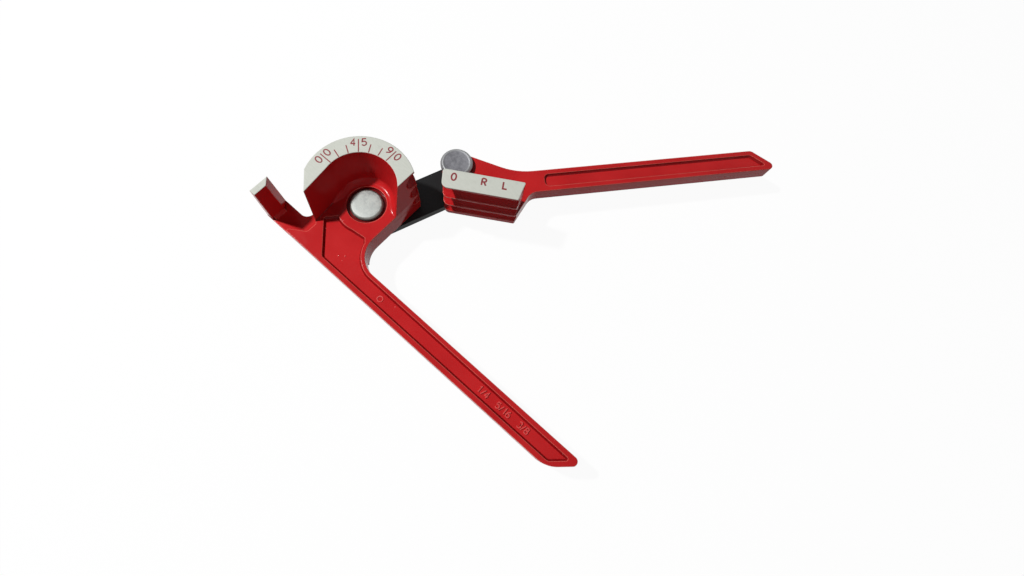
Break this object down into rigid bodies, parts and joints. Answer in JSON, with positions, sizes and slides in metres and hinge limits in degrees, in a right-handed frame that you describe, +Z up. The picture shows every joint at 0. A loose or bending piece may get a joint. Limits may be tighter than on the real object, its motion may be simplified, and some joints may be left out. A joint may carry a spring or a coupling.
{
  "type": "tube bender",
  "caption": "Hand lever tube bender: a grooved round former with an angle dial, a hook and a handle, and a grooved shoe with its own handle that swings round the former on a link.",
  "frame": {"origin": "former's pivot axis, at the end face of the former rivet's tail, on which the tool lies", "axes": "+X along the former's handle, +Y along a straight tube in the hook, +Z up out of the dial face"},
  "size_m": [0.2132, 0.2255, 0.0431],
  "materials": {
    "red_enamel": "gloss",
    "black_steel": "satin",
    "plated_steel": "satin",
    "washer_steel": "satin"
  },
  "bodies": {
    "former_arm": {"former_handle": "red_enamel", "former_rivet": "plated_steel", "former_thrust_washer": "washer_steel", "former_tail_washer": "washer_steel"},
    "link": {"link_plate": "black_steel", "shoe_rivet": "plated_steel", "shoe_thrust_washer": "washer_steel", "shoe_tail_washer": "washer_steel"},
    "shoe_arm": {"shoe_handle": "red_enamel"}
  },
  "joints": [
    {"name": "link_swing", "type": "hinge", "parent": "former_arm", "child": "link", "pos_m": [0, 0, 0.0053], "axis": [0, 0, 1], "range_deg": [-13, 110.6]},
    {"name": "shoe_swing", "type": "hinge", "parent": "link", "child": "shoe_arm", "pos_m": [0.01953, 0.05195, 0.0126], "axis": [0, 0, 1], "range_deg": [-53, 75]}
  ]
}
